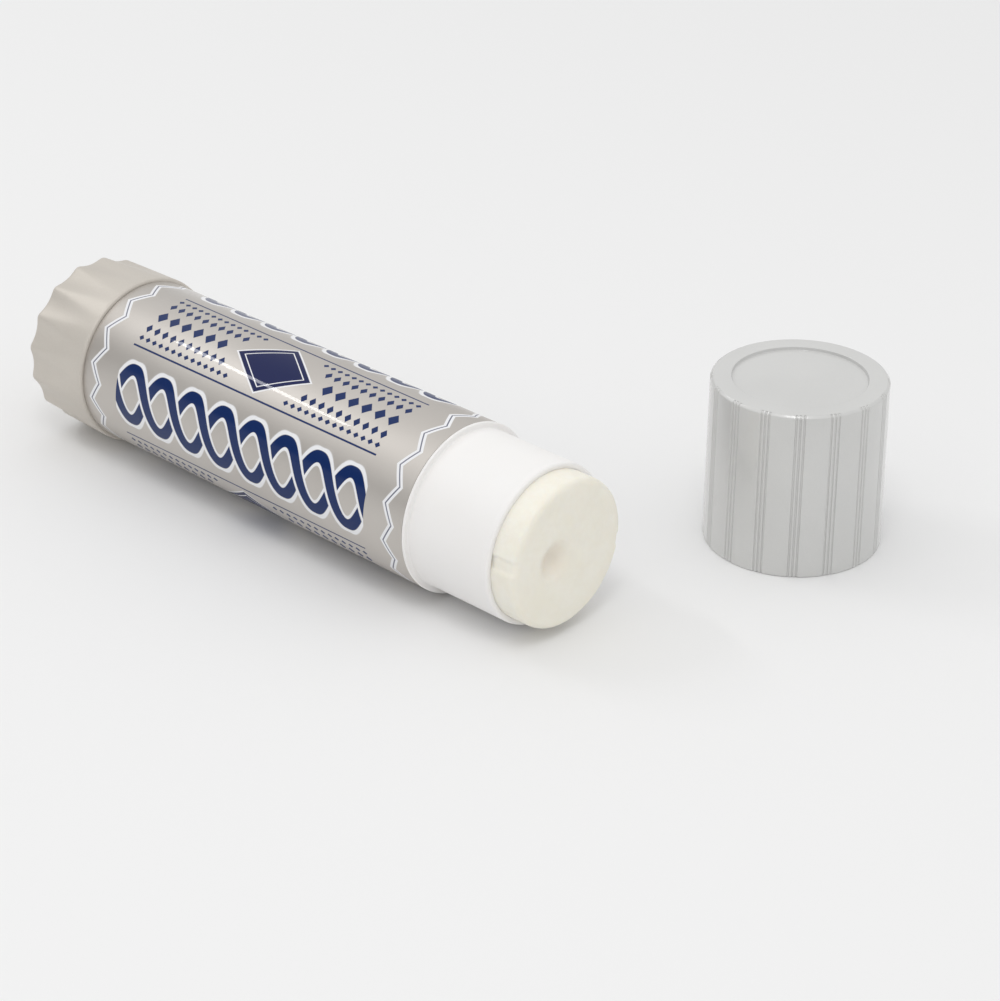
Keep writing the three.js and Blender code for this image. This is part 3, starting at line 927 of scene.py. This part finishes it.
def make_screw():
    thread_end = SCREW_TIP - SCREW_CHAMFER
    outline = [
        Vector(point) for point in (
            (0, SCREW_FOOT),
            (SCREW_FOOT_R, SCREW_FOOT),
            (SCREW_FOOT_R, HUB_TOP),
            (JOURNAL_R, HUB_TOP + 2 * TINY),
            (JOURNAL_R, COLLAR_BOTTOM),
            (COLLAR_R, COLLAR_BOTTOM),
            (COLLAR_R, COLLAR_TOP),
            (SCREW_CORE_R, COLLAR_TOP),
            (SCREW_CORE_R, thread_end),
            (SCREW_CORE_R - SCREW_CHAMFER, SCREW_TIP),
            (0, SCREW_TIP),
        )
    ]
    outline = filled_in(outline, SCREW_ROWS, COLLAR_TOP - TINY, thread_end, SCREW_CORE_R - TINY)
    screw = turned("feed_screw_thread", outline, even_angles(SCREW_SIDES))
    shaped(screw, thread_tree, {
        "Core": SCREW_CORE_R, "Crest": SCREW_CREST_R, "Lead": SCREW_LEAD,
        "Crest width": SCREW_CREST, "Root width": SCREW_ROOT, "From": COLLAR_TOP + THREAD_RUN_IN,
        "To": thread_end - SCREW_CREST, "Foot end": HUB_TOP + TINY,
    }, inner_natural)
    placed(screw, STICK, inner_natural, "knob", "feed_screw")


def make_cap():
    outline = rounded([
        (0, CAP_CEILING, 0),
        (CAP_SEAT_R, CAP_CEILING, CAP_CEILING_EDGE),
        (CAP_SEAT_R, CAP_SEAT + CAP_SEAT_SLOPE, 0),
        (CAP_FIT_R, CAP_SEAT, 0),
        (CAP_FIT_R, 0, CAP_LIP),
        (CAP_MOUTH_R, 0, CAP_MOUTH_EDGE),
        (CAP_TOP_R, CAP_HEIGHT - CAP_EDGE, CAP_EDGE),
        (CAP_TOP_R - CAP_EDGE, CAP_HEIGHT, CAP_EDGE),
        (CAP_RECESS_R + CAP_RECESS_SLOPE, CAP_HEIGHT, CAP_RECESS_EDGE),
        (CAP_RECESS_R, CAP_HEIGHT - CAP_RECESS, FINE_EDGE),
        (0, CAP_HEIGHT - CAP_RECESS, 0),
    ], steps=8)
    side_to = CAP_HEIGHT - CAP_EDGE * 1.9
    outline = filled_in(outline, CAP_ROWS, CAP_ROWS_FROM, side_to)
    angles = angles_with_lines(
        CAP_SIDES, CAP_TURN, CAP_GROUPS, CAP_LINES, CAP_LINE_SPACING, CAP_LINE_WIDTH,
        CAP_LINE_SOFTNESS, CAP_LINE_R,
    )
    cap = turned("cap_shell", outline, angles)
    shaped(cap, line_tree, {
        "Groups": float(CAP_GROUPS), "Turn": math.radians(CAP_TURN), "Lines": float(CAP_LINES),
        "Spacing": CAP_LINE_SPACING, "Width": CAP_LINE_WIDTH, "Softness": CAP_LINE_SOFTNESS,
        "Depth": CAP_LINE_DEPTH, "From": -CAP_LINE_OVERRUN, "To": CAP_HEIGHT + CAP_LINE_OVERRUN,
        "Fade": 0.5, "Inner": (CAP_TOP_R + CAP_FIT_R) / 2, "Outer": 2 * CAP_MOUTH_R,
    }, cap_pearl)
    placed(cap, CAP, cap_pearl, "cap", "cap")


def make_glue():
    """Block with a soft round hollow beside the middle of its face, worn a little uneven."""
    outline = rounded([
        (0, GLUE_BORE_END, 0),
        (GLUE_BORE_R, GLUE_BORE_END, FINE_EDGE),
        (GLUE_BORE_R, GLUE_FOOT, 0),
        (GLUE_ROOT_R, GLUE_FOOT, FINE_EDGE),
        (GLUE_ROOT_R, GLUE_STEP, 0),
        (GLUE_R, GLUE_STEP, FINE_EDGE),
        (GLUE_R, GLUE_FACE, GLUE_EDGE),
        (0, GLUE_FACE, 0),
    ], steps=8)
    side_from = GLUE_FACE - GLUE_SIDE_REACH
    outline = filled_in(outline, GLUE_FACE_ROWS, GLUE_FACE - TINY, GLUE_FACE + TINY)
    outline = filled_in(outline, GLUE_SIDE_ROWS, side_from, GLUE_FACE, GLUE_R - TINY)
    angles = angles_with_lines(
        GLUE_SIDES, RIB_TURN, RIBS, lines=1, spacing=1.0, width=GROOVE_WIDTH,
        softness=GROOVE_EDGE, radius=GLUE_R,
    )
    glue = turned("glue_block", outline, angles)
    shaped(glue, line_tree, {
        "Groups": float(RIBS), "Turn": math.radians(RIB_TURN), "Lines": 1.0, "Spacing": 1.0,
        "Width": GROOVE_WIDTH, "Softness": GROOVE_EDGE, "Depth": GROOVE_DEPTH, "From": GLUE_STEP,
        "To": GLUE_FACE + GROOVE_OVERRUN, "Fade": 0.1, "Inner": GLUE_R - GROOVE_INWARDS,
        "Outer": 2 * GLUE_R,
    }, glue_cream)
    worn_from = GLUE_FACE - WORN_REACH
    for vertex in glue.data.vertices:
        co = vertex.co
        in_bore = math.hypot(co.x, co.y) < GLUE_BORE_R + TINY and co.z < GLUE_BORE_END + TINY
        if co.z < worn_from or in_bore:
            continue
        share = min(1.0, (co.z - worn_from) / WORN_FADE)
        broad = noise.noise(co * 0.3) * 0.7
        fine = noise.noise(co * 1.3) * 0.3
        swell = 0.5 + broad + fine
        away = math.hypot(co.x - DIMPLE_AT[0], co.y - DIMPLE_AT[1]) / DIMPLE_R
        hollow = DIMPLE_DEPTH * (0.5 + 0.5 * math.cos(math.pi * min(1.0, away)))
        co.z -= share * (WORN_DEPTH * min(1.0, max(0.0, swell)) + hollow)
    placed(glue, STICK, glue_cream, "carrier", "glue")


make_barrel()
make_label()
make_knob()
make_screw()
make_cap()
make_glue()
carrier_slots = frame["nodes"]["carrier"].data.materials
carrier_slots.clear()
carrier_slots.append(inner_natural)


# Studio

def make_floor():
    """Pale matt floor that takes the shadows."""
    material, tree, shader, here = finish_of("pale_floor", Roughness=0.9, Specular_IOR_Level=0.0)
    drift = noise_field(tree, here, scale=3.0)
    feed(tree, shader.inputs["Base Color"], mixed(tree, drift, *FLOOR_TONES))
    sides = ((-1, -1), (1, -1), (1, 1), (-1, 1))
    corners = [(x * FLOOR_REACH, y * FLOOR_REACH, 0) for x, y in sides]
    mesh = bpy.data.meshes.new("floor")
    mesh.from_pydata(corners, [], [(0, 1, 2, 3)])
    mesh.materials.append(material)
    floor = bpy.data.objects.new("floor", mesh)
    bpy.context.scene.collection.objects.link(floor)


def make_world():
    """Soft light from above; low down it is darker in front, most of all in one patch,
    and a pale band lies round the horizon, where the floor ends."""
    world = bpy.data.worlds.new("studio")
    world.use_nodes = True
    tree = world.node_tree
    background = tree.nodes["Background"]
    direction = tree.nodes.new("ShaderNodeTexCoord").outputs["Generated"]
    x, y, z = parts_of(tree, direction)

    def towards(azimuth):
        return x * math.cos(azimuth) + y * math.sin(azimuth)

    near_patch = towards(PATCH_AZIMUTH).rising(PATCH_NEAR, PATCH_NEAR_FADE)
    near_patch = near_patch * z.falling(PATCH_TOP, PATCH_TOP_FADE)
    low = LOW_LIGHT - towards(FRONT_AZIMUTH) * LOW_CHANGE
    high = HIGH_LIGHT + towards(FRONT_AZIMUTH) * HIGH_CHANGE
    light = step_field(z.most(0.0), LOW_END, LOW_END_FADE, low, high) * LIGHT
    light = light * (1.0 - near_patch * PATCH_SHADE)
    light = light + z.falling(HORIZON_TOP, HORIZON_FADE) * (HORIZON - light)
    feed(tree, background.inputs["Strength"], light)
    background.inputs["Color"].default_value = (1, 1, 1, 1)
    bpy.context.scene.world = world


def hang(lamp, place, turned_to):
    """Puts a lamp at its place, turned by a matrix of three rows."""
    holder = bpy.data.objects.new(lamp.name, lamp)
    holder.matrix_world = Matrix.Translation(place) @ turned_to.to_4x4()
    bpy.context.scene.collection.objects.link(holder)


def make_strip_lamp():
    """Long narrow lamp, seen as the bright line along the label."""
    lamp = bpy.data.lights.new("strip_lamp", "AREA")
    lamp.shape = "RECTANGLE"
    lamp.size = STRIP_LENGTH
    lamp.size_y = STRIP_BREADTH
    lamp.energy = STRIP_RADIANCE * math.pi * lamp.size * lamp.size_y
    back = (STRIP_PLACE - STRIP_AIM).normalized()
    length = (STRIP_RUN - back * STRIP_RUN.dot(back)).normalized()
    hang(lamp, STRIP_PLACE, Matrix((length, back.cross(length), back)).transposed())


def make_front_lamp():
    """Round soft lamp high in front, which gives the edges a light line."""
    lamp = bpy.data.lights.new("front_lamp", "AREA")
    lamp.shape = "DISK"
    lamp.size = FRONT_BREADTH
    lamp.energy = FRONT_RADIANCE * math.pi * math.pi * lamp.size * lamp.size / 4
    towards = -FRONT_PLACE.normalized()
    hang(lamp, FRONT_PLACE, towards.to_track_quat("-Z", "Y").to_matrix())


def make_camera():
    data = bpy.data.cameras.new("camera")
    data.lens = CAMERA_LENS
    data.sensor_width = 36
    data.clip_start = 0.01
    data.clip_end = 50
    camera = bpy.data.objects.new("camera", data)
    camera.location = CAMERA_PLACE
    camera.rotation_euler = (math.pi / 2 - CAMERA_PITCH, 0, CAMERA_YAW - math.pi / 2)
    bpy.context.scene.collection.objects.link(camera)
    bpy.context.scene.camera = camera


make_floor()
make_world()
make_strip_lamp()
make_front_lamp()
make_camera()
bpy.context.scene.view_settings.view_transform = "Standard"
